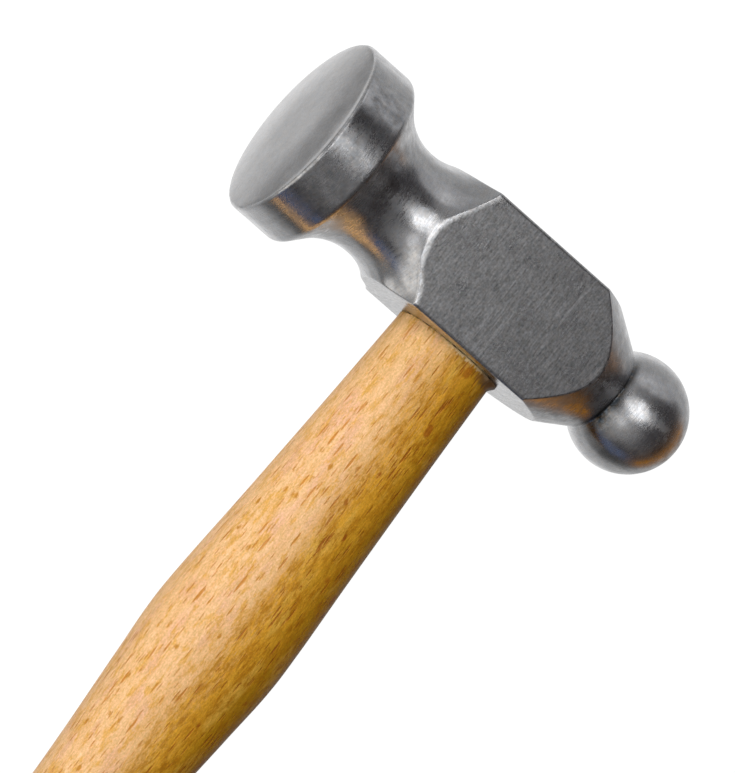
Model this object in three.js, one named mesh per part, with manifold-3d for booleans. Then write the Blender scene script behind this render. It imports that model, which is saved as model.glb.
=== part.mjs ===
// Ball peen hammer lying on its side, in millimetres, +Z up.
// +X runs along the handle to its butt, +Y along the head to the ball peen.
// The striking face looks to -Y. The origin is on the bench, under the middle of the hammer.
// Inside the head group the origin is the eye centre, where the head and handle axes cross.
import * as THREE from 'three';
import * as BufferGeometryUtils from 'three/addons/utils/BufferGeometryUtils.js';
import Module from 'manifold-3d';

// Striking disc
const DISC_RADIUS = 14;
const FACE_Y = -36.1;
const FACE_FLAT_RADIUS = 9;
const FACE_CROWN = 0.35;
const FACE_EDGE_RADIUS = 0.5;
const DISC_BACK_Y = -27.6;
const DISC_BACK_EDGE_RADIUS = 1.4;

// Neck: one hollow arc between the disc and the block
const NECK_RADIUS = 8.6;
const NECK_Y = -19.2;
const NECK_ARC_RADIUS = 9.5;

// Block: a square prism whose long edges are lightly broken
const BLOCK_HALF = 9.55;
const BLOCK_EDGE_BREAK = 0.2;
const BLOCK_BALL_END_Y = 9.6;

// Ball peen on a short cone
const BALL_Y = 26.4;
const BALL_RADIUS = 8.4;
const BALL_NECK_Y = 21.1;

// Eye: an oval hourglass through the block
const EYE_UNDERSIDE = { x: BLOCK_HALF, halfWidth: 6.7, halfThickness: 4.5 };
const EYE_WAIST = { x: 2.5, halfWidth: 6.2, halfThickness: 4.1 };
const EYE_TOP = { x: -BLOCK_HALF, halfWidth: 7.3, halfThickness: 5.1 };

// Handle: x, half width along Y and half thickness along Z
const HANDLE_STATIONS = [
  [9.85, 7.85, 6.1],
  [25, 8.45, 6.55],
  [42, 9.25, 7.1],
  [54, 9.9, 7.6],
  [61, 10, 7.75],
  [70, 9.35, 7.4],
  [88, 8.1, 6.6],
  [112, 7.4, 6.2],
  [150, 7.9, 6.6],
  [200, 9.2, 7.5],
  [232, 9.9, 8],
];
const BUTT_X = 250;
const HANDLE_TOP_X = -9.9;
const SECTION_POWER = 2.3;
const BUTT_ROUNDNESS = 0.6;

// Wedges
const CLEARANCE = 0.3;
const WOOD_WEDGE = { depth: 12.5, width: 12, thickTop: 2, thickTip: 0.5 };
const STEEL_WEDGE = { depth: 7.5, width: 7, thickTop: 1.3, thickTip: 0.4 };
const STEEL_WEDGE_SPREAD = 3.2;
const CUT_PAST_TOP = 1;
const KERF_WIDTH = 20;

const LATHE_SEGMENTS = 48;
const ARC_DIVISIONS = 5;
const HANDLE_SIDES = 36;

const STEEL = { color: 0x84858a, roughness: 0.3, metalness: 1 };
const BEECH = { color: 0xd9a062, roughness: 0.55, metalness: 0 };
const WEDGE_WOOD = { color: 0xb98a58, roughness: 0.7, metalness: 0 };
const WEDGE_STEEL = { color: 0x8d8f92, roughness: 0.45, metalness: 1 };

const wasm = await Module();
wasm.setup();

// ---------- solids ----------

function toSolid(geometry) {
  const bare = geometry.clone();
  bare.deleteAttribute('normal');
  bare.deleteAttribute('uv');
  const merged = BufferGeometryUtils.mergeVertices(bare, 1e-5);
  const vertProperties = new Float32Array(merged.attributes.position.array);
  const triVerts = new Uint32Array(merged.index.array);
  return new wasm.Manifold(new wasm.Mesh({ numProp: 3, vertProperties, triVerts }));
}

function toGeometry(solid) {
  const mesh = solid.getMesh();
  const geometry = new THREE.BufferGeometry();
  geometry.setAttribute('position', new THREE.BufferAttribute(mesh.vertProperties, 3));
  geometry.setIndex(new THREE.BufferAttribute(mesh.triVerts, 1));
  geometry.computeVertexNormals();
  return geometry;
}

function namedMesh(name, geometry, finish) {
  const mesh = new THREE.Mesh(geometry, new THREE.MeshStandardMaterial(finish));
  mesh.name = name;
  return mesh;
}

// A box given by its lowest and highest corners
function boxSolid(low, high) {
  const size = new THREE.Vector3().subVectors(high, low);
  const geometry = new THREE.BoxGeometry(size.x, size.y, size.z);
  geometry.translate((low.x + high.x) / 2, (low.y + high.y) / 2, (low.z + high.z) / 2);
  return toSolid(geometry);
}

// One closed ring of points across X: an oval, squarer as the power rises above 2
function ovalRing(x, halfWidth, halfThickness, power) {
  const ring = [];
  for (let side = 0; side < HANDLE_SIDES; side += 1) {
    const angle = (side / HANDLE_SIDES) * Math.PI * 2;
    const c = Math.cos(angle);
    const s = Math.sin(angle);
    const y = Math.sign(c) * halfWidth * Math.abs(c) ** (2 / power);
    const z = Math.sign(s) * halfThickness * Math.abs(s) ** (2 / power);
    ring.push(new THREE.Vector3(x, y, z));
  }
  return ring;
}

// A closed skin over rings listed in order of X, with a flat fan over each end
function loft(rings) {
  const count = rings[0].length;
  const positions = rings.flat().flatMap((point) => point.toArray());
  const triangles = [];
  for (let ring = 0; ring + 1 < rings.length; ring += 1) {
    for (let side = 0; side < count; side += 1) {
      const a = ring * count + side;
      const b = ring * count + ((side + 1) % count);
      triangles.push(a, b, a + count, b, b + count, a + count);
    }
  }
  const last = (rings.length - 1) * count;
  for (let side = 1; side + 1 < count; side += 1) {
    triangles.push(0, side + 1, side);
    triangles.push(last, last + side, last + side + 1);
  }
  const geometry = new THREE.BufferGeometry();
  geometry.setAttribute('position', new THREE.Float32BufferAttribute(positions, 3));
  geometry.setIndex(triangles);
  return geometry;
}

// ---------- head ----------

// Half outline of the turned head, radius against Y, from the face to the ball's end
function headOutline() {
  const outline = new THREE.Path();
  const faceRim = FACE_Y + FACE_CROWN + FACE_EDGE_RADIUS;
  outline.moveTo(0, FACE_Y);
  outline.lineTo(FACE_FLAT_RADIUS, FACE_Y);
  const rimInner = DISC_RADIUS - FACE_EDGE_RADIUS;
  outline.quadraticCurveTo(rimInner - 2, FACE_Y, rimInner, FACE_Y + FACE_CROWN);
  outline.absarc(rimInner, faceRim, FACE_EDGE_RADIUS, -Math.PI / 2, 0, false);

  // The back edge's round and the neck's arc share a tangent
  const edge = new THREE.Vector2(DISC_RADIUS - DISC_BACK_EDGE_RADIUS, DISC_BACK_Y - DISC_BACK_EDGE_RADIUS);
  const neck = new THREE.Vector2(NECK_RADIUS + NECK_ARC_RADIUS, NECK_Y);
  const between = new THREE.Vector2().subVectors(neck, edge);
  const spread = Math.acos((DISC_BACK_EDGE_RADIUS + NECK_ARC_RADIUS) / between.length());
  const tangent = between.angle() - spread;
  outline.absarc(edge.x, edge.y, DISC_BACK_EDGE_RADIUS, 0, tangent, false);

  const blockRadius = Math.SQRT2 * BLOCK_HALF - BLOCK_EDGE_BREAK;
  const neckEnd = Math.PI - Math.acos((neck.x - blockRadius) / NECK_ARC_RADIUS);
  outline.absarc(neck.x, neck.y, NECK_ARC_RADIUS, tangent + Math.PI, neckEnd, true);
  outline.lineTo(blockRadius, BLOCK_BALL_END_Y);

  const ballNeck = Math.sqrt(BALL_RADIUS ** 2 - (BALL_Y - BALL_NECK_Y) ** 2);
  outline.lineTo(ballNeck, BALL_NECK_Y);
  const ballStart = Math.atan2(BALL_NECK_Y - BALL_Y, ballNeck);
  outline.absarc(0, BALL_Y, BALL_RADIUS, ballStart, Math.PI / 2, false);
  return outline;
}

// Points of the outline, fewest where it is straight, with both ends on the axis
function outlinePoints(outline, divisions) {
  const points = [];
  for (const point of outline.getPoints(divisions)) {
    const previous = points[points.length - 1];
    if (!previous || previous.distanceTo(point) > 0.02) {
      points.push(point);
    }
  }
  points[0].x = 0;
  points[points.length - 1].x = 0;
  return points;
}

// The four flats are cut between the neck and the ball only
function cutFlats(turned) {
  const far = 20;
  let shaped = turned;
  for (const side of [-1, 1]) {
    const inner = side * BLOCK_HALF;
    const outer = side * far;
    const low = Math.min(inner, outer);
    const high = Math.max(inner, outer);
    const acrossX = boxSolid(new THREE.Vector3(low, NECK_Y, -far), new THREE.Vector3(high, BALL_Y, far));
    const acrossZ = boxSolid(new THREE.Vector3(-far, NECK_Y, low), new THREE.Vector3(far, BALL_Y, high));
    shaped = shaped.subtract(acrossX).subtract(acrossZ);
  }
  return shaped;
}

// Hourglass eye, run a little past both flats
function eyeSolid() {
  const past = 1;
  const oval = (span, x) => ovalRing(x, span.halfWidth, span.halfThickness, 2);
  return toSolid(loft([
    oval(EYE_TOP, EYE_TOP.x - past),
    oval(EYE_TOP, EYE_TOP.x),
    oval(EYE_WAIST, EYE_WAIST.x),
    oval(EYE_UNDERSIDE, EYE_UNDERSIDE.x),
    oval(EYE_UNDERSIDE, EYE_UNDERSIDE.x + past),
  ]));
}

function hammerHead() {
  const points = outlinePoints(headOutline(), ARC_DIVISIONS);
  const turned = toSolid(new THREE.LatheGeometry(points, LATHE_SEGMENTS));
  const head = cutFlats(turned).subtract(eyeSolid());
  return namedMesh('hammer_head', toGeometry(head), STEEL);
}

// ---------- wedges ----------

// A tapered blade driven along +X from the top of the eye; its thickness is along Z.
// Grown by the clearance it is the cutter for its own slot.
function wedgeGeometry(wedge, grow) {
  const top = grow > 0 ? HANDLE_TOP_X - CUT_PAST_TOP : HANDLE_TOP_X;
  const tip = HANDLE_TOP_X + wedge.depth + grow;
  const halfTop = wedge.thickTop / 2 + grow;
  const halfTip = wedge.thickTip / 2 + grow;
  const outline = new THREE.Shape();
  outline.moveTo(top, -halfTop);
  outline.lineTo(tip, -halfTip);
  outline.lineTo(tip, halfTip);
  outline.lineTo(top, halfTop);
  const width = wedge.width + 2 * grow;
  const geometry = new THREE.ExtrudeGeometry(outline, { depth: width, bevelEnabled: false });
  geometry.translate(0, 0, -width / 2);
  geometry.rotateX(Math.PI / 2);
  return geometry;
}

// A steel wedge stands across the wooden one
function steelWedgeGeometry(side, grow) {
  const geometry = wedgeGeometry(STEEL_WEDGE, grow);
  geometry.rotateX(Math.PI / 2);
  geometry.translate(0, side * STEEL_WEDGE_SPREAD, 0);
  return geometry;
}

function cutSteelWedges(solid) {
  let cut = solid;
  for (const side of [-1, 1]) {
    cut = cut.subtract(toSolid(steelWedgeGeometry(side, CLEARANCE)));
  }
  return cut;
}

function woodWedge() {
  const blade = cutSteelWedges(toSolid(wedgeGeometry(WOOD_WEDGE, 0)));
  return namedMesh('wood_wedge', toGeometry(blade), WEDGE_WOOD);
}

function steelWedge(name, side) {
  const blade = toSolid(steelWedgeGeometry(side, 0));
  return namedMesh(name, toGeometry(blade), WEDGE_STEEL);
}

// ---------- handle ----------

// Rings of the tenon, which follows the eye at the clearance
function tenonRings() {
  const fitted = (span, x) => ovalRing(x, span.halfWidth - CLEARANCE, span.halfThickness - CLEARANCE, 2);
  const shoulder = HANDLE_STATIONS[0][0];
  return [
    fitted(EYE_TOP, HANDLE_TOP_X),
    fitted(EYE_TOP, EYE_TOP.x),
    fitted(EYE_WAIST, EYE_WAIST.x),
    fitted(EYE_UNDERSIDE, EYE_UNDERSIDE.x),
    fitted(EYE_UNDERSIDE, shoulder),
  ];
}

// Rings of the butt, which rounds over to a small flat end
function buttRings() {
  const [endX, endWidth, endThickness] = HANDLE_STATIONS[HANDLE_STATIONS.length - 1];
  const lastTurn = Math.PI * 0.45;
  const steps = 6;
  const rings = [];
  for (let step = 1; step <= steps; step += 1) {
    const turn = (step / steps) * lastTurn;
    const x = endX + ((BUTT_X - endX) * Math.sin(turn)) / Math.sin(lastTurn);
    const shrink = Math.cos(turn) ** BUTT_ROUNDNESS;
    rings.push(ovalRing(x, endWidth * shrink, endThickness * shrink, SECTION_POWER));
  }
  return rings;
}

// Rings of the grip, from the shoulder to the butt
function gripRings() {
  const widthPoints = HANDLE_STATIONS.map(([x, width]) => new THREE.Vector2(x, width));
  const thicknessPoints = HANDLE_STATIONS.map(([x, , thickness]) => new THREE.Vector2(x, thickness));
  const widths = new THREE.SplineCurve(widthPoints);
  const thicknesses = new THREE.SplineCurve(thicknessPoints);
  const steps = 3 * (HANDLE_STATIONS.length - 1);
  const rings = [];
  for (let step = 0; step <= steps; step += 1) {
    const width = widths.getPoint(step / steps);
    const thickness = thicknesses.getPoint(step / steps);
    rings.push(ovalRing(width.x, width.y, thickness.y, SECTION_POWER));
  }
  return [...rings, ...buttRings()];
}

function handle() {
  const whole = toSolid(loft([...tenonRings(), ...gripRings()]));
  const kerf = wedgeGeometry({ ...WOOD_WEDGE, width: KERF_WIDTH }, CLEARANCE);
  const kerfed = whole.subtract(toSolid(kerf));
  return namedMesh('handle', toGeometry(cutSteelWedges(kerfed)), BEECH);
}

// ---------- assembly ----------

const group = new THREE.Group();
group.add(hammerHead());
group.add(handle());
group.add(woodWedge());
group.add(steelWedge('steel_wedge_face_side', -1));
group.add(steelWedge('steel_wedge_ball_side', 1));

// The disc reaches further back along X than the tenon's end does
const middleX = (BUTT_X - DISC_RADIUS) / 2;
const middleY = (FACE_Y + BALL_Y + BALL_RADIUS) / 2;
group.position.set(-middleX, -middleY, DISC_RADIUS);

export default group;
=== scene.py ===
"""Ball peen hammer: the looks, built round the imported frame."""

import math

import bpy
from mathutils import Matrix, Vector, noise


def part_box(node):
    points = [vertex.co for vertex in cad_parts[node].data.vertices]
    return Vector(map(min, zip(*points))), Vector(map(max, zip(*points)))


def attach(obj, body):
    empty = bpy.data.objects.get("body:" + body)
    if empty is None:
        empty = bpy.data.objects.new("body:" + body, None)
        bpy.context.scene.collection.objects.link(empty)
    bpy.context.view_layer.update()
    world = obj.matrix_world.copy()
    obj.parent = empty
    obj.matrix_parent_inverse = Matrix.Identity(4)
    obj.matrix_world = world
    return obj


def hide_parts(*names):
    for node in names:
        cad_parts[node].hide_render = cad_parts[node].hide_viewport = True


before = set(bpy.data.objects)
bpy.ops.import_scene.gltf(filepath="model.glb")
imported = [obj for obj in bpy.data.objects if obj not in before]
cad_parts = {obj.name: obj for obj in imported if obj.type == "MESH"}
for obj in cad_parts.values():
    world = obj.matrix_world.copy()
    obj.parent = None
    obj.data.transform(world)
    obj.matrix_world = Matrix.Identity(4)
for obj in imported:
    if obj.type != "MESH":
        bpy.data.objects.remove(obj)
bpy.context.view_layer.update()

MM = 0.001
TURN = 2 * math.pi

# Head, in millimetres from the eye centre: X along the handle, Y to the ball, Z up
DISC_RADIUS = 14
FACE_Y = -36.1
FACE_FLAT_RADIUS = 4
FACE_CROWN_CONTROL = (8.8, FACE_Y)
FACE_RIM_CENTRE = (13.5, -35.06)
FACE_RIM_RADIUS = 0.5
FACE_RIM_START = math.radians(-82)
BACK_EDGE_CENTRE = (12.6, -29.0)
BACK_EDGE_RADIUS = 1.4
NECK_CENTRE = (18.1, -19.2)
NECK_ARC_RADIUS = 9.5
BLOCK_HALF = 9.55
BLOCK_RADIUS = math.sqrt(2) * BLOCK_HALF - 0.2
BLOCK_BALL_END_Y = 9.6
BALL_Y = 26.4
BALL_RADIUS = 8.4
BALL_NECK_Y = 21.1
BALL_NECK_RADIUS = math.sqrt(BALL_RADIUS ** 2 - (BALL_Y - BALL_NECK_Y) ** 2)
CONE_SLOPE = (BLOCK_RADIUS - BALL_NECK_RADIUS) / (BALL_NECK_Y - BLOCK_BALL_END_Y)
EDGE_SOFTNESS = 0.12
CREASE_SOFTNESS = 0.25
CREASE_REACH = 0.3

# Hand polishing at the neck's wide end: its fullness and its bevel, away from the handle and by it
NECK_FULLER = (0.0, 1.05)
BEVEL_WIDTH = (0.2, 0.34)
BEVEL_SLOPE = 0.2
BEVEL_SOFTNESS = 0.12
# Where it sets in: by the angle's cosine, by its |cosine x sine| near a corner, and along Y
BY_HANDLE = (-0.1, 0.45)
AT_CORNER = (0.36, 0.5)
FULLER_Y = (-17.5, -12)

# The head's mesh: rows along each stretch, distances of the rows beside a sharp edge, columns, and
# how often the search for the neck's edge halves its range
ROWS = {
    "face flat": 8,
    "crown": 12,
    "rim": 8,
    "disc side": 12,
    "back edge": 10,
    "disc back": 6,
    "neck": 26,
    "neck end": 15,
    "flat": 20,
    "cone": 9,
    "crease": 10,
    "ball": 40,
}
EDGE_GAPS = (0.0, 0.06, 0.12, 0.2, 0.3, 0.4, 0.5, 0.62, 0.8, 1.1)
COLUMNS_PER_FLAT = 72
HALVINGS = 40

# Zones of the head's skin, in the order of its materials
STRIKING_FACE, TURNED, GROUND = range(3)

# Eye: x, half width along Y and half thickness along Z
EYE_TOP = (-9.55, 7.3, 5.1)
EYE_WAIST = (2.5, 6.2, 4.1)
EYE_UNDERSIDE = (9.55, 6.7, 4.5)
EYE_CHAMFER = 0.25

# Handle: x, half width along Y and half thickness along Z
HANDLE_STATIONS = [
    (9.85, 7.85, 6.1),
    (25, 8.45, 6.55),
    (42, 9.25, 7.1),
    (54, 9.9, 7.6),
    (61, 10, 7.75),
    (70, 9.35, 7.4),
    (88, 8.1, 6.6),
    (112, 7.4, 6.2),
    (150, 7.9, 6.6),
    (200, 9.2, 7.5),
    (232, 9.9, 8),
]
BUTT_X = 249.99
BUTT_ROUNDNESS = 0.6
BUTT_TURN = math.radians(81)
HANDLE_TOP_X = -9.9
SECTION_POWER = 2.3
HANDLE_SIDES = 120
STATION_RINGS = 24
BUTT_RINGS = 24

# Wedges: depth along X, width, thickness at the top and at the tip
WOOD_WEDGE = (12.5, 12, 2, 0.5)
KERF = (12.5, 20, 2, 0.5)
STEEL_WEDGE = (7.5, 7, 1.3, 0.4)
# Distance of the steel wedges from the middle, and the gap round a wedge in its slot
STEEL_WEDGE_SPREAD = 3.2
SLOT_GAP = 0.04
# Width of the eased edges, and how far a cutter reaches past what it cuts
WOOD_EASE = 0.06
STEEL_EASE = 0.12
CUTTER_REACH = 1

# Edges sharper than this are eased, or shaded as edges
EASED_FROM_DEGREES = 30
HEAD_SHARP_DEGREES = 35
SHARP_DEGREES = 40

# Tenon: its gap to the eye, the rings of its end (distance from the top, inset), and its last ring
TENON_GAP = 0.06
TENON_END = ((0, 0.35), (0.05, 0.12), (0.18, 0.02))
TENON_ROOT = 0.3

# Shoulder of the grip, and its rings: distance from the shoulder, inset, and how ragged they are
SHOULDER_X = 9.56
SHOULDER_STEPS = (
    (0.0, 0.06, 0.8),
    (0.1, 0.0, 1.0),
    (0.25, -0.01, 0.9),
    (0.5, -0.02, 0.5),
    (0.9, -0.03, 0.15),
    (1.3, -0.03, 0.0),
)
# Frayed fibres: how far they reach out and along X, and their waves (fineness, share, place in the noise)
FRAY_OUT = 0.26
FRAY_ALONG = 0.2
FRAY_WAVES = ((9, 1.0, 3.1), (31, 0.6, 8.4))
# The crushed lip at the corner on the ball's side
LIP_ANGLE = math.radians(18)
LIP_HEIGHT = 0.75
LIP_POWER = 9
LIP_FADE = (0.2, 1.3)

# Camera: lengths in millimetres, angles in degrees, AIM from the eye centre
AIM = Vector((20.53, -5.43, 0))
CAMERA_DISTANCE = 800.76
CAMERA_AZIMUTH = 18.39
CAMERA_ELEVATION = 68.715
CAMERA_ROLL = -111.198
CAMERA_LENS = 279.43

# Lights, in metres from the eye centre
WINDOW_DIRECTION = Vector((-0.134, -0.15, 0.965))
WINDOW_DISTANCE = 1.0
WINDOW_SIZE = (0.6, 0.66)
WINDOW_RADIANCE = 2.1
KEY_DIRECTION = Vector((-0.1, -0.57, 0.82))
KEY_DISTANCE = 0.9
KEY_SIZE = (0.5, 0.5)
KEY_POWER = 6.8

# Floor: it glows white, and the share of it that is paint takes the key light's shadows
FLOOR_SIZE = (12, 12)
FLOOR_GLOW = 1.1
FLOOR_PAINT = 0.08
FLOOR_COLOR = (0.9, 0.9, 0.9)
WHITE = (1, 1, 1)
BLACK = (0, 0, 0)

# The room round the hammer, as light reaching it; each glow: direction, wide and tight cosines, colour
ROOM_DARK = (0.057, 0.054, 0.057)
ROOM_END = (0.012, 0.006, 0.004)
ROOM_WALL = (0.46, 0.46, 0.47)
ROOM_BLUE = (0.10, 0.125, 0.2)
ROOM_WARM = (0.44, 0.17, 0.002)
ROOM_GLOWS = [
    ((0.55, 0.05, 0.83), 0.84, 0.96, (0.13, 0.13, 0.13)),
    ((0.62, -0.22, 0.75), 0.88, 0.97, (0.10, 0.10, 0.10)),
    ((0.64, -0.60, 0.48), 0.925, 0.98, (0.46, 0.46, 0.46)),
    ((-0.25, -0.75, 0.61), 0.80, 0.95, (0.08, 0.08, 0.08)),
    ((-0.76, -0.35, 0.55), 0.88, 0.98, (0.24, 0.24, 0.24)),
    ((-0.2, -0.97, 0.1), 0.80, 0.95, (0.7, 0.7, 0.7)),
    ((0.38, -0.44, 0.81), 0.93, 0.985, (0.75, 0.75, 0.75)),
]
CORNER_GLOW = ((0.57, -0.80, 0.2), 0.82, 0.97, (1.10, 1.07, 1.02))

# The bench below, from level (0) to straight down (1), as stops of place and light: on the handle's
# side, on the other side, and what dims both beyond the striking face, where FACE_GLOW is the least
# light on the handle's side before that
BENCH_BY_HANDLE = (
    (0.0, 0.07),
    (0.2, 0.07),
    (0.35, 0.15),
    (0.43, 0.32),
    (0.54, 0.48),
    (0.71, 0.56),
    (0.82, 0.7),
    (0.94, 0.95),
)
BENCH_BEHIND = ((0.0, 0.44), (0.42, 0.47), (0.57, 0.6), (0.7, 0.85), (0.83, 0.92), (0.94, 1.0))
BENCH_BY_FACE = (
    (0.0, 0.8),
    (0.8, 0.9),
    (0.835, 1.0),
    (0.862, 0.38),
    (0.9, 0.38),
    (0.935, 0.655),
    (0.97, 0.72),
)
FACE_GLOW = 0.28

# Steel
STEEL = (0.58, 0.58, 0.59)
GROUND_STEEL = (0.5, 0.5, 0.505)
FACE_STEEL = (0.56, 0.555, 0.56)
TURNED_ANISOTROPY = 0.86
ANISOTROPY_TURN = 0.25
WEDGE_STEEL = (0.40, 0.40, 0.41)
WEDGE_RUST = (0.24, 0.19, 0.16)

# Wood
# Peach: the wood's colour on the lit side, with a painted sheen
PEACH_AND_SHEEN = (0.83, 0.505, 0.24)
TAN = (0.64, 0.32, 0.09)
GOLD = (0.68, 0.34, 0.04)
ROSY = (0.74, 0.41, 0.25)
ORANGE = (0.61, 0.30, 0.018)
# Amber: the amber side's edge, darkened by painted shade
AMBER_AND_SHADE = (0.435, 0.22, 0.005)
PALE_AMBER = (0.62, 0.36, 0.05)
DEEP_AMBER = (0.45, 0.17, 0.001)
FLECK = (0.52, 0.19, 0.012)
DEEP_FLECK = (0.31, 0.085, 0.001)
SPOT = (0.52, 0.22, 0.02)
PIT = (0.36, 0.10, 0.002)
TORN_FIBRE = (0.86, 0.67, 0.38)
STAINED_FIBRE = (0.30, 0.22, 0.03)
# Crushed fibre, darkened further by painted shadow
CRUSHED_FIBRE_AND_SHADOW = (0.13, 0.07, 0.035)
END_GRAIN = (0.38, 0.22, 0.10)
WEDGE_WOOD = (0.66, 0.47, 0.27)
WEDGE_WOOD_GRAIN = (0.42, 0.27, 0.13)

# Where noise mostly lies, and its outer reach
NOISE_MIDDLE = (0.3, 0.7)
NOISE_WIDE = (0.25, 0.75)

HEAD_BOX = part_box("hammer_head")
EYE_CENTRE = Vector((
    (HEAD_BOX[0].x + HEAD_BOX[1].x) / 2,
    HEAD_BOX[0].y - FACE_Y * MM,
    (HEAD_BOX[0].z + HEAD_BOX[1].z) / 2,
))


# ---------- meshes ----------

def new_object(name, points, faces):
    """An object whose own origin is the eye centre, from points in millimetres."""
    mesh = bpy.data.meshes.new(name)
    mesh.from_pydata([Vector(point) * MM for point in points], [], faces)
    mesh.validate()
    mesh.update()
    made = bpy.data.objects.new(name, mesh)
    made.location = EYE_CENTRE
    bpy.context.scene.collection.objects.link(made)
    bpy.context.view_layer.update()
    return made


def smooth(obj, sharp_degrees):
    mesh = obj.data
    mesh.polygons.foreach_set("use_smooth", [True] * len(mesh.polygons))
    mesh.set_sharp_from_angle(angle=math.radians(sharp_degrees))
    mesh.update()


def apply_modifiers(obj):
    depsgraph = bpy.context.evaluated_depsgraph_get()
    evaluated = obj.evaluated_get(depsgraph)
    old = obj.data
    obj.data = bpy.data.meshes.new_from_object(
        evaluated, preserve_all_data_layers=True, depsgraph=depsgraph
    )
    obj.modifiers.clear()
    bpy.data.meshes.remove(old)


def cut(obj, cutter):
    """Takes the cutter's solid out of obj, and removes the cutter."""
    step = obj.modifiers.new("cut", "BOOLEAN")
    step.operation = "DIFFERENCE"
    step.solver = "EXACT"
    step.object = cutter
    bpy.context.view_layer.update()
    apply_modifiers(obj)
    bpy.data.objects.remove(cutter)


def loft(name, rings):
    """A closed skin over rings of points, with a fan over each end."""
    count = len(rings[0])
    points = [point for ring in rings for point in ring]
    faces = []
    for ring in range(len(rings) - 1):
        for side in range(count):
            a = ring * count + side
            b = ring * count + (side + 1) % count
            faces.append((a, b, b + count, a + count))
    ends = [(rings[0], 0, True), (rings[-1], (len(rings) - 1) * count, False)]
    for ring, first, flip in ends:
        middle = sum((Vector(point) for point in ring), Vector()) / count
        points.append(middle)
        centre = len(points) - 1
        for side in range(count):
            a = first + side
            b = first + (side + 1) % count
            faces.append((b, a, centre) if flip else (a, b, centre))
    return new_object(name, points, faces)


def oval(x, half_width, half_thickness, power=2):
    """A ring across X: an ellipse, or squarer with a power over 2."""
    ring = []
    for side in range(HANDLE_SIDES):
        angle = side / HANDLE_SIDES * TURN
        c, s = math.cos(angle), math.sin(angle)
        y = math.copysign(half_width * abs(c) ** (2 / power), c)
        z = math.copysign(half_thickness * abs(s) ** (2 / power), s)
        ring.append((x, y, z))
    return ring


# ---------- head ----------

def soft_min(a, b, softness):
    overlap = max(softness - abs(a - b), 0)
    return min(a, b) - overlap ** 2 / (4 * softness)


def soft_max(a, b, softness):
    return -soft_min(-a, -b, softness)


def arc(centre, radius, start, end, steps):
    """Points (radius from the axis, y) on a circle, without the first."""
    turns = [start + (end - start) * step / steps for step in range(1, steps + 1)]
    return [(centre[0] + radius * math.cos(t), centre[1] + radius * math.sin(t)) for t in turns]


def line(start, end, steps):
    shares = [step / steps for step in range(1, steps + 1)]
    return [(start[0] + (end[0] - start[0]) * s, start[1] + (end[1] - start[1]) * s) for s in shares]


def crown(start, control, end, steps):
    """Points on the curve from start to end that leans towards control, without the first."""
    points = []
    for step in range(1, steps + 1):
        s = step / steps
        weights = ((1 - s) ** 2, 2 * s * (1 - s), s * s)
        points.append(tuple(
            weights[0] * start[i] + weights[1] * control[i] + weights[2] * end[i] for i in (0, 1)
        ))
    return points


def face_profile():
    rim_start = arc(FACE_RIM_CENTRE, FACE_RIM_RADIUS, FACE_RIM_START, FACE_RIM_START, 1)[0]
    flat = line((0, FACE_Y), (FACE_FLAT_RADIUS, FACE_Y), ROWS["face flat"])
    return flat + crown(flat[-1], FACE_CROWN_CONTROL, rim_start, ROWS["crown"])


def side_profile():
    """From the face's rim round to the waist of the neck."""
    rim = arc(FACE_RIM_CENTRE, FACE_RIM_RADIUS, FACE_RIM_START, 0, ROWS["rim"])
    side = line(rim[-1], (DISC_RADIUS, BACK_EDGE_CENTRE[1]), ROWS["disc side"])
    across = Vector(NECK_CENTRE) - Vector(BACK_EDGE_CENTRE)
    spread = math.acos((BACK_EDGE_RADIUS + NECK_ARC_RADIUS) / across.length)
    tangent = math.atan2(across.y, across.x) - spread
    edge = arc(BACK_EDGE_CENTRE, BACK_EDGE_RADIUS, 0, tangent, ROWS["back edge"])
    start = tangent + math.pi
    neck = arc(NECK_CENTRE, NECK_ARC_RADIUS, start, math.pi, ROWS["neck"])
    first = arc(NECK_CENTRE, NECK_ARC_RADIUS, start, start, 1)[0]
    return rim + side + edge + line(edge[-1], first, ROWS["disc back"]) + neck


def fade(value, low, high):
    """A smooth step from 0 at low to 1 at high."""
    share = min(max((value - low) / (high - low), 0), 1)
    return share * share * (3 - 2 * share)


def by_handle(angle, span):
    """From the first of the span, away from the handle, to the second on the handle's side."""
    return span[0] + (span[1] - span[0]) * fade(math.cos(angle), *BY_HANDLE)


def neck_radius(y, angle):
    """The neck's arc, fuller by the handle except at the block's corners."""
    at_corner = fade(abs(math.cos(angle) * math.sin(angle)), *AT_CORNER)
    fuller = by_handle(angle, NECK_FULLER) * (1 - at_corner) * fade(y, *FULLER_Y)
    reach = min(max(y + fuller - NECK_CENTRE[1], 0), NECK_ARC_RADIUS)
    return NECK_CENTRE[0] - math.sqrt(NECK_ARC_RADIUS ** 2 - reach ** 2)


def neck_edge(angle, flat_radius):
    """The y where the neck's bevel ends against a flat, or at the rounded corner between two."""
    goal = min(flat_radius, BLOCK_RADIUS)
    low, high = NECK_CENTRE[1], NECK_CENTRE[1] + NECK_ARC_RADIUS
    for _ in range(HALVINGS):
        middle = (low + high) / 2
        if neck_radius(middle, angle) < goal:
            low = middle
        else:
            high = middle
    return low + by_handle(angle, BEVEL_WIDTH)


def cone_radius(y):
    """Radius of the cone and, past the crease, of the ball."""
    cone = BLOCK_RADIUS - CONE_SLOPE * (y - BLOCK_BALL_END_Y)
    if y < BALL_NECK_Y - CREASE_REACH:
        return cone
    ball = math.sqrt(BALL_RADIUS ** 2 - (BALL_Y - y) ** 2)
    return soft_max(cone, ball, CREASE_SOFTNESS)


def turned_radius(y, angle, edge, edge_radius):
    """The body before its flats are cut; edge is the y where the neck's bevel ends, at edge_radius."""
    if y > BLOCK_BALL_END_Y:
        return cone_radius(y)
    bevel = edge_radius + BEVEL_SLOPE * (y - edge)
    return min(soft_min(neck_radius(y, angle), bevel, BEVEL_SOFTNESS), BLOCK_RADIUS)


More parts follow.
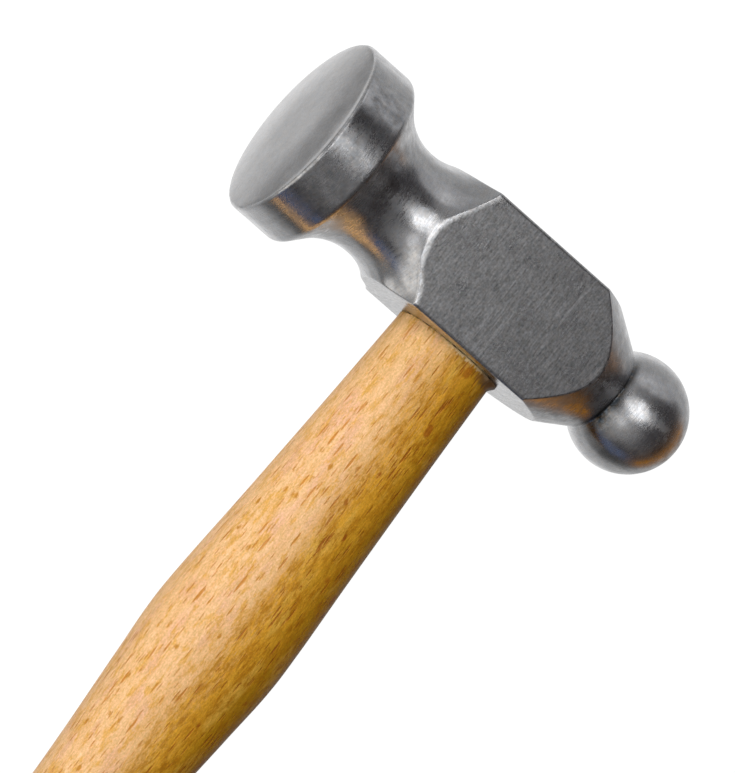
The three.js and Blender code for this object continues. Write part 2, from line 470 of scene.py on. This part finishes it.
def spaced(low, high, steps, near_low=(), near_high=()):
    """Values from low to high, closer together near the ends that ask for it."""
    first = low + (near_low[-1] if near_low else 0)
    last = high - (near_high[-1] if near_high else 0)
    values = [low + gap for gap in near_low[:-1]]
    values += [first + (last - first) * step / steps for step in range(steps + 1)]
    values += [high - gap for gap in reversed(near_high[:-1])]
    return values


def block_rows(edge_1, edge_2):
    """The y of every row from the waist to the ball's neck, in one column."""
    neck = spaced(NECK_CENTRE[1], edge_1, ROWS["neck end"], (), EDGE_GAPS[1:])[1:]
    flat = spaced(edge_1, edge_2, ROWS["flat"], EDGE_GAPS, EDGE_GAPS)
    crease = BALL_NECK_Y - CREASE_REACH
    cone = spaced(edge_2, crease, ROWS["cone"], EDGE_GAPS[1:], ())
    join = spaced(crease, BALL_NECK_Y + CREASE_REACH, ROWS["crease"])[1:]
    return neck, flat, cone + join


def column_angles():
    """Angles of the columns, closer together by the block's corners."""
    angles = []
    for quarter in range(4):
        for step in range(COLUMNS_PER_FLAT):
            t = 2 * step / COLUMNS_PER_FLAT - 1
            across = 0.5 * t + 0.5 * math.sin(math.pi * t / 2)
            angles.append(quarter * math.pi / 2 + math.atan(across))
    return angles


def head_column(angle):
    """Rows (radius, y, zone of the skin before the row) down one column, poles left out."""
    c, s = abs(math.cos(angle)), abs(math.sin(angle))
    flat_radius = BLOCK_HALF / max(c, s)
    rows = [(r, y, STRIKING_FACE) for r, y in face_profile()]
    rows += [(r, y, TURNED) for r, y in side_profile()]
    edge_radius = min(flat_radius, BLOCK_RADIUS)
    edge_1 = neck_edge(angle, flat_radius)
    edge_2 = BLOCK_BALL_END_Y + (BLOCK_RADIUS - edge_radius) / CONE_SLOPE
    for part, zone in zip(block_rows(edge_1, edge_2), (TURNED, GROUND, TURNED)):
        for y in part:
            turned = turned_radius(y, angle, edge_1, edge_radius)
            rows.append((soft_min(turned, flat_radius, EDGE_SOFTNESS), y, zone))
    start = math.asin((BALL_NECK_Y + CREASE_REACH - BALL_Y) / BALL_RADIUS)
    ball = arc((0, BALL_Y), BALL_RADIUS, start, math.pi / 2, ROWS["ball"])[:-1]
    return rows + [(r, y, TURNED) for r, y in ball]


def head_mesh():
    columns = [(angle, head_column(angle)) for angle in column_angles()]
    row_count = len(columns[0][1])
    count = len(columns)
    points = []
    for row in range(row_count):
        for angle, rows in columns:
            radius, y, _ = rows[row]
            points.append((radius * math.cos(angle), y, radius * math.sin(angle)))
    zones = [zone for _, _, zone in columns[0][1]]
    points += [(0, FACE_Y, 0), (0, BALL_Y + BALL_RADIUS, 0)]
    face_pole, ball_pole = len(points) - 2, len(points) - 1
    faces, materials = [], []
    last = (row_count - 1) * count
    for side in range(count):
        after = (side + 1) % count
        faces += [(side, after, face_pole), (last + after, last + side, ball_pole)]
        materials += [STRIKING_FACE, TURNED]
    for row in range(row_count - 1):
        for side in range(count):
            a, b = row * count + side, row * count + (side + 1) % count
            faces.append((a, a + count, b + count, b))
            materials.append(zones[row + 1])
    made = new_object("forged_head", points, faces)
    made.data.polygons.foreach_set("material_index", materials)
    return made


def eye_cutter():
    """The eye's hourglass, with a chamfer at both mouths, reaching past the block."""
    wide = [(x, w + EYE_CHAMFER, t + EYE_CHAMFER) for x, w, t in (EYE_TOP, EYE_UNDERSIDE)]
    rings = [
        (wide[0][0] - CUTTER_REACH, wide[0][1] + CUTTER_REACH, wide[0][2] + CUTTER_REACH),
        wide[0],
        (EYE_TOP[0] + EYE_CHAMFER, EYE_TOP[1], EYE_TOP[2]),
        EYE_WAIST,
        (EYE_UNDERSIDE[0] - EYE_CHAMFER, EYE_UNDERSIDE[1], EYE_UNDERSIDE[2]),
        wide[1],
        (wide[1][0] + CUTTER_REACH, wide[1][1] + CUTTER_REACH, wide[1][2] + CUTTER_REACH),
    ]
    return loft("eye_cutter", [oval(*ring) for ring in rings])


def build_head(finishes):
    made = head_mesh()
    for finish in finishes:
        made.data.materials.append(finish)
    cutter = eye_cutter()
    cutter.data.materials.append(finishes[GROUND])
    cut(made, cutter)
    smooth(made, HEAD_SHARP_DEGREES)
    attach(made, "root")
    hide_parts("hammer_head")


# ---------- handle ----------

def catmull_rom(points, share):
    """A point on the spline through the points, evenly timed between them."""
    place = share * (len(points) - 1)
    index = min(int(place), len(points) - 2)
    t = place - index
    before = points[max(index - 1, 0)]
    after = points[min(index + 2, len(points) - 1)]
    values = []
    for a, b, c, d in zip(before, points[index], points[index + 1], after):
        slope_b, slope_c = (c - a) / 2, (d - b) / 2
        values.append(
            (2 * b - 2 * c + slope_b + slope_c) * t ** 3
            + (-3 * b + 3 * c - 2 * slope_b - slope_c) * t ** 2
            + slope_b * t + b
        )
    return values


def tenon_rings():
    """The part inside the eye, with a softened rim at its end."""
    def fitted(span, x, inset=0.0):
        return oval(x, span[1] - TENON_GAP - inset, span[2] - TENON_GAP - inset)

    end = [fitted(EYE_TOP, HANDLE_TOP_X + distance, inset) for distance, inset in TENON_END]
    return end + [
        fitted(EYE_TOP, EYE_TOP[0] + EYE_CHAMFER),
        fitted(EYE_WAIST, EYE_WAIST[0]),
        fitted(EYE_UNDERSIDE, SHOULDER_X - TENON_ROOT),
        fitted(EYE_UNDERSIDE, SHOULDER_X),
    ]


def fraying(around):
    """How far the fibres stand out at this angle round the rim, from about -1 to 1."""
    c, s = math.cos(around), math.sin(around)
    return sum(share * noise.noise((c * fine, s * fine, place)) for fine, share, place in FRAY_WAVES)


def shoulder_rings():
    """The cut end of the grip: a ragged rim, and a crushed lip at the corner on the ball's side."""
    _, width, thickness = HANDLE_STATIONS[0]
    rings = []
    for distance, inset, ragged in SHOULDER_STEPS:
        ring = oval(SHOULDER_X + distance, width - inset, thickness - inset, SECTION_POWER)
        shaped = []
        for x, y, z in ring:
            around = math.atan2(z, y)
            fray = fraying(around) * ragged
            lip = max(0.0, math.cos(around - LIP_ANGLE)) ** LIP_POWER * LIP_HEIGHT
            lip *= 1 - fade(distance, *LIP_FADE)
            grow = 1 + (lip + FRAY_OUT * fray) / math.hypot(y, z)
            shaped.append((x + FRAY_ALONG * max(0.0, fray), y * grow, z * grow))
        rings.append(shaped)
    return rings


def grip_rings():
    """The grip from just past the shoulder to the last station."""
    steps = STATION_RINGS * (len(HANDLE_STATIONS) - 1)
    rings = []
    for step in range(2, steps + 1):
        x, width, thickness = catmull_rom(HANDLE_STATIONS, step / steps)
        rings.append(oval(x, width, thickness, SECTION_POWER))
    return rings


def butt_rings():
    """The rounded end of the grip."""
    end_x, end_width, end_thickness = HANDLE_STATIONS[-1]
    rings = []
    for step in range(1, BUTT_RINGS + 1):
        turn = step / BUTT_RINGS * BUTT_TURN
        x = end_x + (BUTT_X - end_x) * math.sin(turn) / math.sin(BUTT_TURN)
        shrink = math.cos(turn) ** BUTT_ROUNDNESS
        rings.append(oval(x, end_width * shrink, end_thickness * shrink, SECTION_POWER))
    return rings


def blade(name, size, grow=0.0, across=False, offset=0.0, past=0.0):
    """A wedge driven along X from the top of the eye: thick along Z, or along Y if it stands across."""
    depth, width, thick_top, thick_tip = size
    half_width = width / 2 + grow
    top = HANDLE_TOP_X - past
    points = []
    for x, half in ((top, thick_top / 2 + grow), (HANDLE_TOP_X + depth + grow, thick_tip / 2 + grow)):
        for y, z in ((-half_width, -half), (half_width, -half), (half_width, half), (-half_width, half)):
            points.append((x, z + offset, -y) if across else (x, y + offset, z))
    faces = [(3, 2, 1, 0), (4, 5, 6, 7), (0, 1, 5, 4), (1, 2, 6, 5), (2, 3, 7, 6), (3, 0, 4, 7)]
    return new_object(name, points, faces)


def ease_edges(obj, width, segments=3):
    """Rounds every edge, so that it catches the light."""
    step = obj.modifiers.new("ease", "BEVEL")
    step.width = width * MM
    step.segments = segments
    step.limit_method = "ANGLE"
    step.angle_limit = math.radians(EASED_FROM_DEGREES)
    bpy.context.view_layer.update()
    apply_modifiers(obj)


def finish_piece(obj, material, node):
    obj.data.materials.clear()
    obj.data.materials.append(material)
    smooth(obj, SHARP_DEGREES)
    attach(obj, "root")
    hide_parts(node)


def cut_steel_wedge_slots(obj):
    for side in (-1, 1):
        cut(obj, blade("slot", STEEL_WEDGE, SLOT_GAP, True, side * STEEL_WEDGE_SPREAD, CUTTER_REACH))


def build_handle(finish):
    made = loft("beech_handle", tenon_rings() + shoulder_rings() + grip_rings() + butt_rings())
    cut(made, blade("kerf", KERF, SLOT_GAP, past=CUTTER_REACH))
    cut_steel_wedge_slots(made)
    finish_piece(made, finish, "handle")


def build_wedges(wood, steel):
    made = blade("wedge_of_wood", WOOD_WEDGE)
    cut_steel_wedge_slots(made)
    ease_edges(made, WOOD_EASE, 2)
    finish_piece(made, wood, "wood_wedge")
    for side, place in ((-1, "face_side"), (1, "ball_side")):
        made = blade("wedge_of_steel_" + place, STEEL_WEDGE, across=True, offset=side * STEEL_WEDGE_SPREAD)
        ease_edges(made, STEEL_EASE)
        finish_piece(made, steel, "steel_wedge_" + place)


# ---------- materials ----------

class Graph:
    """Builds one shader tree. Most calls add a node and give back its output socket."""

    def __init__(self, tree):
        self.tree = tree
        tree.nodes.clear()

    def node(self, kind, inputs=None, **settings):
        made = self.tree.nodes.new(kind)
        for name, value in settings.items():
            setattr(made, name, value)
        for key, value in (inputs or {}).items():
            self.feed(made.inputs[key], value)
        return made

    def feed(self, socket, value):
        if isinstance(value, bpy.types.NodeSocket):
            self.tree.links.new(value, socket)
        elif socket.type == "RGBA":
            socket.default_value = (*value, 1)
        else:
            socket.default_value = value

    def math(self, operation, *values, clamp=False):
        made = self.node("ShaderNodeMath", dict(enumerate(values)), operation=operation, use_clamp=clamp)
        return made.outputs[0]

    def times(self, *values):
        product = values[0]
        for value in values[1:]:
            product = self.math("MULTIPLY", product, value)
        return product

    def plus(self, *values):
        total = values[0]
        for value in values[1:]:
            total = self.math("ADD", total, value)
        return total

    def vector(self, operation, *values):
        made = self.node("ShaderNodeVectorMath", dict(enumerate(values)), operation=operation)
        return made.outputs["Value"] if operation in ("DOT_PRODUCT", "LENGTH") else made.outputs[0]

    def scaled(self, vector, *scale):
        return self.vector("MULTIPLY", vector, scale)

    def combine(self, x, y, z):
        return self.node("ShaderNodeCombineXYZ", {0: x, 1: y, 2: z}).outputs[0]

    def split(self, vector):
        return self.node("ShaderNodeSeparateXYZ", {0: vector}).outputs

    def noise(self, vector, detail=2.0, roughness=0.5):
        inputs = {"Vector": vector, "Scale": 1.0, "Detail": detail, "Roughness": roughness}
        return self.node("ShaderNodeTexNoise", inputs).outputs[0]

    def grain(self, cells, detail=2.0, roughness=0.5):
        """Noise over the object, with this many cells to a millimetre along X, Y and Z."""
        return self.noise(self.scaled(self.place, *cells), detail, roughness)

    def cells(self, vector):
        """Distance to the nearest of the points scattered one to a unit cube."""
        return self.node("ShaderNodeTexVoronoi", {"Vector": vector, "Scale": 1.0}).outputs["Distance"]

    def step(self, value, low, high):
        """A smooth step from 0 at low to 1 at high."""
        inputs = {"Value": value, "From Min": low, "From Max": high}
        made = self.node("ShaderNodeMapRange", inputs, interpolation_type="SMOOTHSTEP")
        return made.outputs["Result"]

    def span(self, value, low, high, start, end):
        inputs = {"Value": value, "From Min": low, "From Max": high, "To Min": start, "To Max": end}
        return self.node("ShaderNodeMapRange", inputs).outputs["Result"]

    def spread(self, value, low, high, reach=NOISE_MIDDLE):
        """Noise, made to run from low to high."""
        return self.span(value, *reach, low, high)

    def mix(self, factor, a, b, blend="MIX"):
        made = self.node("ShaderNodeMix", None, data_type="RGBA", blend_type=blend)
        self.feed(made.inputs["Factor"], factor)
        self.feed(made.inputs[6], a)
        self.feed(made.inputs[7], b)
        return made.outputs[2]

    def grade(self, value, *stops):
        """A curve of grey through the stops (place, level), for places from 0 to 1."""
        ramp = self.node("ShaderNodeValToRGB", {0: value})
        points = ramp.color_ramp.elements
        for index, (place, level) in enumerate(stops):
            point = points[index] if index < 2 else points.new(place)
            point.position = place
            point.color = (level, level, level, 1)
        return ramp.outputs[0]

    def bump(self, height, millimetres, normal=None):
        inputs = {"Height": height, "Distance": millimetres * MM, "Strength": 1.0}
        if normal is not None:
            inputs["Normal"] = normal
        return self.node("ShaderNodeBump", inputs).outputs[0]


def new_material(name):
    """A material and its graph, whose place is the point in millimetres from the eye centre."""
    made = bpy.data.materials.new(name)
    made.use_nodes = True
    graph = Graph(made.node_tree)
    where = graph.node("ShaderNodeTexCoord").outputs["Object"]
    graph.place = graph.scaled(where, 1 / MM, 1 / MM, 1 / MM)
    return made, graph


def finish_material(graph, inputs):
    shader = graph.node("ShaderNodeBsdfPrincipled", inputs)
    graph.node("ShaderNodeOutputMaterial", {0: shader.outputs[0]})


def lines_round_head(graph, around, along, detail):
    """Noise drawn out round the head's axis, with this many cells to a millimetre round and along it."""
    return graph.grain((around, along, around), detail)


def steel_skin(graph, color, roughness, grain, parts):
    """Speckled satin steel. parts adds what is special to one zone, such as its tone and its normal."""
    clouds = parts.get("clouds", 0.04)
    cloudy = graph.grain((0.22, 0.22, 0.22), 3.0)
    speck = graph.grain((3.1, 3.1, 3.1), 2.0, 0.7)
    tone = graph.spread(speck, -grain, grain, NOISE_WIDE)
    tone = graph.plus(tone, graph.spread(cloudy, -clouds, clouds), parts["tone"])
    bright = graph.plus(tone, 1.0)
    tint = graph.spread(graph.grain((1.9, 1.9, 1.9)), -0.03, 0.03)
    warm = graph.plus(bright, tint)
    cool = graph.math("SUBTRACT", bright, tint)
    rough = graph.spread(cloudy, roughness - clouds, roughness + clouds)
    inputs = {
        "Base Color": graph.vector("MULTIPLY", color, graph.combine(warm, bright, cool)),
        "Metallic": 1.0,
        "Roughness": graph.math("ADD", rough, parts.get("rough", 0.0), clamp=True),
        "Normal": graph.bump(speck, parts.get("relief", 0.004), parts["normal"]),
    }
    if "anisotropy" in parts:
        tangent = graph.node("ShaderNodeTangent", direction_type="RADIAL", axis="Y")
        inputs["Anisotropic"] = parts["anisotropy"]
        inputs["Anisotropic Rotation"] = ANISOTROPY_TURN
        inputs["Tangent"] = tangent.outputs[0]
    finish_material(graph, inputs)


def turned_steel():
    """Polished in the lathe: fine rings and short scratches, with painted shade on the disc's top and by
    the ball.
    """
    made, graph = new_material("steel_turned")
    rings = lines_round_head(graph, 0.12, 5.0, 3.0)
    scratches = lines_round_head(graph, 0.9, 5.5, 3.0)
    waves = graph.grain((0.5, 0.5, 0.5))
    blotch = graph.grain((0.7, 0.45, 0.7), 3.0, 0.6)
    tone = graph.plus(graph.spread(rings, -0.05, 0.05), graph.spread(blotch, 0.08, -0.12))
    # Painted shade: blotches darken the disc's upper side and dim the window's reflection there
    tone = graph.plus(tone, graph.times(disc_top_painted_shade(graph), graph.span(blotch, 0.35, 0.65, 0.02, -0.3)))
    height = graph.plus(rings, graph.times(scratches, 0.8), graph.times(waves, 3.0))
    steel_skin(graph, STEEL, 0.27, 0.09, {
        # Painted shade darkens the groove between cone and ball
        "tone": graph.plus(tone, graph.times(ball_groove_painted_shade(graph), -0.85)),
        "rough": graph.plus(graph.spread(scratches, -0.05, 0.06), graph.spread(blotch, -0.07, 0.07)),
        "normal": graph.bump(height, 0.006),
        "anisotropy": TURNED_ANISOTROPY,
    })
    return made


def disc_top_painted_shade(graph):
    """1 on the upper side of the striking disc, where blotches of painted shade dim its reflection."""
    _, y, z = graph.split(graph.place)
    return graph.times(graph.step(y, -26.0, -30.0), graph.step(z, 8.0, 12.0))


def ball_groove_painted_shade(graph):
    """1 in the groove between cone and ball, above and below, and wider by the handle, where shade is
    painted.
    """
    x, y, z = graph.split(graph.place)
    width = graph.span(x, -1.0, 4.0, 1.0, 3.5)
    past_neck = graph.math("DIVIDE", graph.math("SUBTRACT", y, BALL_NECK_Y), width)
    groove = graph.times(graph.step(past_neck, -0.3, 0.0), graph.step(past_neck, 1.0, 0.0))
    return graph.times(groove, graph.step(graph.math("ABSOLUTE", z), 3.0, 5.6))


def ground_steel():
    """The flats: coarser lines across the head, a few of them deep and bright."""
    made, graph = new_material("steel_ground")
    y = graph.split(graph.place)[1]
    lines = lines_round_head(graph, 0.8, 4.5, 3.0)
    hair = graph.step(lines_round_head(graph, 0.09, 4.4, 2.0), 0.54, 0.68)
    deep = graph.step(lines_round_head(graph, 0.05, 1.7, 1.0), 0.64, 0.70)
    where = graph.span(graph.grain((0.25, 0.25, 0.25), 1.0), 0.35, 0.65, 0.0, 1.0)
    scratched = graph.times(where, graph.span(y, -8.0, 6.0, 0.25, 1.0))
    bright = graph.plus(graph.times(hair, scratched, 0.32), graph.times(deep, scratched, 0.45))
    steel_skin(graph, GROUND_STEEL, 0.28, 0.38, {
        "clouds": 0.015,
        "relief": 0.0015,
        "tone": graph.plus(graph.spread(lines, -0.24, 0.24), bright),
        "normal": graph.bump(lines, 0.001),
    })
    return made


def face_steel():
    """The striking face: even satin with faint clouds and stray hairlines."""
    made, graph = new_material("steel_face")
    hair = graph.step(graph.grain((0.1, 1.0, 2.8)), 0.68, 0.78)
    mottle = graph.spread(graph.grain((0.5, 0.5, 0.5), 3.0, 0.6), -0.08, 0.08)
    steel_skin(graph, FACE_STEEL, 0.12, 0.1, {
        "tone": graph.plus(mottle, graph.times(hair, 0.1)),
        "normal": graph.bump(graph.grain((1.4, 1.4, 1.4), 4.0), 0.003),
    })
    return made


def flecks(graph, length, width, reach, shift):
    """Short marks along the grain, scattered one to a cell of this size in millimetres."""
    sized = graph.scaled(graph.place, 1 / length, 1 / width, 1 / width)
    near = graph.cells(graph.vector("ADD", sized, (shift, shift, shift)))
    wobble = graph.times(graph.grain((0.9, 5.0, 5.0)), 0.12)
    return graph.step(graph.plus(near, wobble), reach + 0.06, reach - 0.02)


def beech_wood():
    """Beech: peach side with painted sheen, amber side with painted shade, patches in both, dark ray
    flecks.
    """
    made, graph = new_material("beech")
    x, y, _ = graph.split(graph.place)
    fibre = graph.grain((0.9, 4.6, 4.6), 3.0, 0.6)
    speck = graph.grain((3.2, 4.2, 4.2), 2.0, 0.7)
    gold = graph.grain((0.32, 1.1, 1.1), 4.0, 0.8)
    side = graph.plus(y, graph.spread(graph.grain((0.05, 0.35, 0.35), 3.0), -1.3, 1.3))
    # The peach side carries a painted sheen; the amber side is darker with painted shade, deepest at its
    # edge, and each patch and fleck gets a darker copy there
    amber_side_and_shade = graph.step(graph.plus(side, graph.spread(fibre, -1.6, 1.6)), -4.4, 2.0)
    color = graph.mix(amber_side_and_shade, PEACH_AND_SHEEN, graph.mix(graph.step(side, 1.0, 6.5), ORANGE, AMBER_AND_SHADE))
    color = wood_patches(graph, color, amber_side_and_shade, gold)
    dark = ray_flecks(graph)
    color = graph.mix(dark, color, graph.mix(amber_side_and_shade, FLECK, DEEP_FLECK))
    color = wood_spots(graph, color, amber_side_and_shade, gold)
    tone = graph.plus(
        graph.spread(fibre, 0.87, 1.13, NOISE_WIDE),
        graph.spread(speck, -0.2, 0.2, NOISE_WIDE),
    )
    deeper = graph.plus(1.0, graph.times(amber_side_and_shade, graph.spread(gold, 0.25, -0.2)))
    tone = graph.times(tone, deeper, graph.span(x, 10.0, 24.0, 0.9, 1.0))
    color = graph.vector("MULTIPLY", color, graph.combine(tone, tone, graph.math("POWER", tone, 2.0)))
    color = shoulder_color(graph, color)
    # End grain inside the eye is duller
    color = graph.mix(graph.step(x, 8.0, -8.0), color, END_GRAIN)
    height = graph.math("SUBTRACT", graph.plus(fibre, graph.times(speck, 0.6)), graph.times(dark, 0.8))
    finish_material(graph, {
        "Base Color": color,
        "Roughness": graph.spread(fibre, 0.42, 0.54),
        "Specular IOR Level": 0.45,
        "Normal": graph.bump(height, 0.04),
    })
    return made


def wood_patches(graph, color, amber_side_and_shade, gold):
    """Rosy or pale patches, golden or deep amber ones, and streaks; each is darker on the amber side, with
    painted shade.
    """
    moved = graph.vector("ADD", graph.place, (40, 11, 7))
    rosy = graph.noise(graph.scaled(moved, 0.13, 0.45, 0.45), 3.0)
    rosy = graph.times(graph.step(rosy, 0.5, 0.66), 0.65)
    color = graph.mix(rosy, color, graph.mix(amber_side_and_shade, ROSY, PALE_AMBER))
    golden = graph.times(graph.step(gold, 0.47, 0.63), 0.8)
    color = graph.mix(golden, color, graph.mix(amber_side_and_shade, GOLD, DEEP_AMBER))
    streak = graph.grain((0.1, 1.6, 1.6), 4.0, 0.6)
    return graph.mix(graph.span(streak, 0.4, 0.75, 0.0, 0.5), color, graph.mix(amber_side_and_shade, TAN, DEEP_AMBER))


def ray_flecks(graph):
    """How dark the ray flecks are, in three lengths."""
    small = flecks(graph, 4.2, 0.52, 0.23, 2.7)
    middling = flecks(graph, 7.5, 0.76, 0.21, 0.0)
    long = flecks(graph, 13.0, 1.3, 0.16, 5.3)
    dark = graph.math("MAXIMUM", graph.times(middling, 0.8), graph.times(long, 0.9))
    return graph.math("MAXIMUM", dark, graph.times(small, 0.6))


def wood_spots(graph, color, amber_side_and_shade, gold):
    """A few round spots, and larger pits on the amber side."""
    _, y, _ = graph.split(graph.place)
    spots = graph.times(flecks(graph, 4.5, 2.4, 0.16, 7.7), graph.step(gold, 0.4, 0.55))
    color = graph.mix(spots, color, graph.mix(amber_side_and_shade, SPOT, DEEP_FLECK))
    pits = graph.times(flecks(graph, 6.0, 3.4, 0.2, 9.1), graph.step(y, -2.0, 3.0))
    return graph.mix(graph.times(pits, 0.75), color, PIT)


def shoulder_color(graph, color):
    """The shoulder's cut rim: pale where fibres stand up, dark by the ball's side with crushed fibre and
    painted shadow.
    """
    x, y, _ = graph.split(graph.place)
    ragged = graph.spread(graph.grain((0.8, 2.6, 2.6), 3.0, 0.7), -0.5, 0.5)
    inward = graph.math("SUBTRACT", graph.plus(x, ragged), SHOULDER_X)
    torn = graph.times(graph.step(inward, 0.55, 0.2), graph.step(y, -5.5, 0.0), 0.75)
    color = graph.mix(torn, color, TORN_FIBRE)
    stain = graph.times(graph.step(inward, 0.15, -0.1), graph.step(y, 1.0, -4.0), 0.6)
    color = graph.mix(stain, color, STAINED_FIBRE)
    # Crushed fibre and painted shadow darken the rim by the ball's side
    crushed_and_shadow = graph.times(graph.step(inward, 2.0, 0.8), graph.step(y, 2.6, 5.4))
    return graph.mix(graph.times(crushed_and_shadow, 0.85), color, CRUSHED_FIBRE_AND_SHADOW)


def wedge_wood():
    """Plain split hardwood, its grain along X and Y."""
    made, graph = new_material("wedge_wood")
    grain = graph.grain((1.2, 1.0, 6.0), 4.0)
    finish_material(graph, {
        "Base Color": graph.mix(grain, WEDGE_WOOD_GRAIN, WEDGE_WOOD),
        "Roughness": graph.spread(grain, 0.6, 0.75),
        "Normal": graph.bump(grain, 0.05),
    })
    return made


def wedge_steel():
    """Dull hammered steel with a little rust."""
    made, graph = new_material("wedge_steel")
    rust = graph.step(graph.grain((0.9, 0.9, 0.9), 4.0), 0.5, 0.75)
    hammered = graph.grain((2.2, 2.2, 2.2), 3.0)
    finish_material(graph, {
        "Base Color": graph.mix(rust, WEDGE_STEEL, WEDGE_RUST),
        "Metallic": 1.0,
        "Roughness": graph.spread(hammered, 0.35, 0.5),
        "Normal": graph.bump(hammered, 0.03),
    })
    return made


# ---------- studio ----------

def white_card(name, radiance):
    made = bpy.data.materials.new(name)
    made.use_nodes = True
    graph = Graph(made.node_tree)
    glow = graph.node("ShaderNodeEmission", {"Color": WHITE, "Strength": radiance})
    graph.node("ShaderNodeOutputMaterial", {0: glow.outputs[0]})
    return made


def card(name, centre, facing, size, material):
    """A flat stage sheet centred on centre, with its normal along facing."""
    half_x, half_y = size[0] / 2, size[1] / 2
    corners = [(-half_x, -half_y, 0), (half_x, -half_y, 0), (half_x, half_y, 0), (-half_x, half_y, 0)]
    mesh = bpy.data.meshes.new(name)
    mesh.from_pydata(corners, [], [(0, 1, 2, 3)])
    mesh.materials.append(material)
    made = bpy.data.objects.new(name, mesh)
    bpy.context.scene.collection.objects.link(made)
    made.matrix_world = Matrix.Translation(centre) @ facing.to_track_quat("Z", "Y").to_matrix().to_4x4()
    return made


def build_floor():
    made = bpy.data.materials.new("floor_white")
    made.use_nodes = True
    graph = Graph(made.node_tree)
    glow = graph.node("ShaderNodeEmission", {"Color": WHITE, "Strength": FLOOR_GLOW})
    paint = graph.node("ShaderNodeBsdfDiffuse", {"Color": FLOOR_COLOR})
    mixed = graph.node("ShaderNodeMixShader", {0: FLOOR_PAINT, 1: glow.outputs[0], 2: paint.outputs[0]})
    graph.node("ShaderNodeOutputMaterial", {0: mixed.outputs[0]})
    floor = card("floor", Vector((0, 0, 0)), Vector((0, 0, 1)), FLOOR_SIZE, made)
    floor.visible_glossy = False
    floor.visible_diffuse = False


def room_above(graph, toward):
    """Dark, with glows, a grey wall away from the handle, a blue strip past the butt, and a dark end."""
    x, y, z = graph.split(toward)
    room = graph.mix(graph.step(x, -0.72, -0.85), ROOM_DARK, ROOM_WALL)
    for direction, wide, tight, color in ROOM_GLOWS:
        spot = graph.step(graph.vector("DOT_PRODUCT", toward, direction), wide, tight)
        room = graph.mix(1.0, room, graph.mix(spot, BLACK, color), "ADD")
    strip = graph.times(graph.step(x, 0.72, 0.9), graph.step(z, -0.05, 0.06), graph.step(z, 0.36, 0.24))
    room = graph.mix(strip, room, ROOM_BLUE)
    end_wall = graph.times(graph.step(y, 0.75, 0.95), graph.step(x, -0.5, -0.3), 0.75)
    return graph.mix(end_wall, room, ROOM_END)


def room_below(graph, toward):
    """A pale bench, brighter straight below, with warm wood beyond the ball."""
    x, y, z = graph.split(toward)
    down = graph.math("MULTIPLY", z, -1.0)
    by_face = graph.times(graph.step(y, 0.12, -0.12), FACE_GLOW)
    east = graph.math("MAXIMUM", graph.grade(down, *BENCH_BY_HANDLE), by_face)
    bench = graph.mix(graph.step(x, 0.05, -0.4), east, graph.grade(down, *BENCH_BEHIND))
    dimmed = graph.mix(1.0, bench, graph.grade(down, *BENCH_BY_FACE), "MULTIPLY")
    bench = graph.mix(graph.step(y, -0.12, -0.3), bench, dimmed)
    low = graph.times(graph.step(z, 0.06, -0.18), graph.step(z, -0.45, -0.3))
    past_ball = graph.times(graph.step(y, 0.66, 0.86), graph.step(x, -0.55, -0.3), graph.step(x, 0.85, 0.5))
    return graph.mix(graph.times(low, past_ball), bench, ROOM_WARM)


def build_world():
    """The room as the steel mirrors it; the camera sees plain white."""
    world = bpy.data.worlds.new("studio")
    bpy.context.scene.world = world
    world.use_nodes = True
    graph = Graph(world.node_tree)
    toward = graph.node("ShaderNodeTexCoord").outputs["Generated"]
    level = graph.step(graph.split(toward)[2], 0.02, -0.06)
    room = graph.mix(level, room_above(graph, toward), room_below(graph, toward))
    direction, wide, tight, color = CORNER_GLOW
    corner = graph.step(graph.vector("DOT_PRODUCT", toward, direction), wide, tight)
    room = graph.mix(corner, room, color)
    path = graph.node("ShaderNodeLightPath")
    seen = graph.mix(path.outputs["Is Camera Ray"], room, WHITE)
    background = graph.node("ShaderNodeBackground", {"Color": seen})
    graph.node("ShaderNodeOutputWorld", {0: background.outputs[0]})


def build_window():
    """The window that the steel mirrors; the key light stands in for it on the wood."""
    away = WINDOW_DIRECTION.normalized()
    centre = EYE_CENTRE + away * WINDOW_DISTANCE
    window = card("window", centre, -away, WINDOW_SIZE, white_card("window", WINDOW_RADIANCE))
    window.visible_camera = False
    window.visible_diffuse = False
    window.visible_shadow = False


def build_key():
    away = KEY_DIRECTION.normalized()
    data = bpy.data.lights.new("key", "AREA")
    data.shape = "RECTANGLE"
    data.size, data.size_y = KEY_SIZE
    data.energy = KEY_POWER
    made = bpy.data.objects.new("key", data)
    bpy.context.scene.collection.objects.link(made)
    made.location = EYE_CENTRE + away * KEY_DISTANCE
    made.rotation_euler = away.to_track_quat("Z", "Y").to_euler()
    made.visible_camera = False
    made.visible_glossy = False


# ---------- camera ----------

def build_camera():
    around, up = math.radians(CAMERA_AZIMUTH), math.radians(CAMERA_ELEVATION)
    back = Vector((math.sin(around) * math.cos(up), -math.cos(around) * math.cos(up), math.sin(up)))
    forward = -back
    level_up = (Vector((0, 0, 1)) - forward * forward.z).normalized()
    level_right = forward.cross(level_up)
    roll = math.radians(CAMERA_ROLL)
    top = level_up * math.cos(roll) + level_right * math.sin(roll)
    right = forward.cross(top)
    data = bpy.data.cameras.new("camera")
    data.lens = CAMERA_LENS
    made = bpy.data.objects.new("camera", data)
    bpy.context.scene.collection.objects.link(made)
    turn = Matrix((right, top, back)).transposed().to_4x4()
    made.matrix_world = Matrix.Translation(EYE_CENTRE + (AIM + back * CAMERA_DISTANCE) * MM) @ turn
    bpy.context.scene.camera = made


build_camera()
build_head([face_steel(), turned_steel(), ground_steel()])
build_handle(beech_wood())
build_wedges(wedge_wood(), wedge_steel())
build_floor()
build_world()
build_window()
build_key()
bpy.context.scene.view_settings.view_transform = "Standard"
